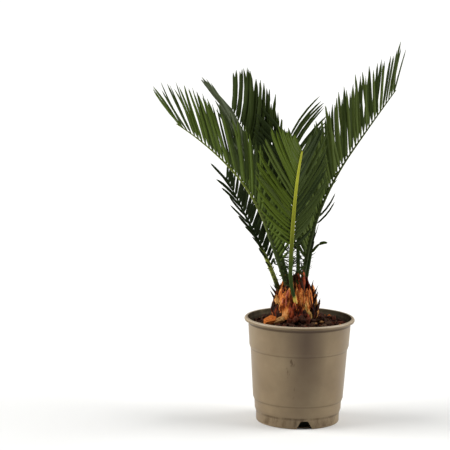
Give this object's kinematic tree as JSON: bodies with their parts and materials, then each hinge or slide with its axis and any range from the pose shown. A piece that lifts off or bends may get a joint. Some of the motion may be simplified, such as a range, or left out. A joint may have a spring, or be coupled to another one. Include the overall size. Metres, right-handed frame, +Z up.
{
  "type": "potted_sago_palm",
  "caption": "Young sago palm with a short scaly orange-brown trunk and arching feather-like green fronds, in a round taupe plastic nursery pot filled with dark bark soil",
  "frame": {"origin": "centre of the pot's flat underside, on the surface that it stands on", "axes": "+Z up along the pot's axis, +X to the plant's right in the picture, -Y to its front"},
  "size_m": [0.3396, 0.3446, 0.5115],
  "materials": {
    "pot_plastic": "satin",
    "potting_soil": "matte",
    "trunk_scales": "matte",
    "leaf": "satin"
  },
  "bodies": {
    "root": {"pot": "pot_plastic", "soil": "potting_soil", "trunk": "trunk_scales", "frond_right": "leaf", "frond_back_right": "leaf", "frond_back": "leaf", "frond_back_left": "leaf", "frond_left_low": "leaf", "frond_left": "leaf", "frond_front": "leaf"}
  },
  "joints": []
}
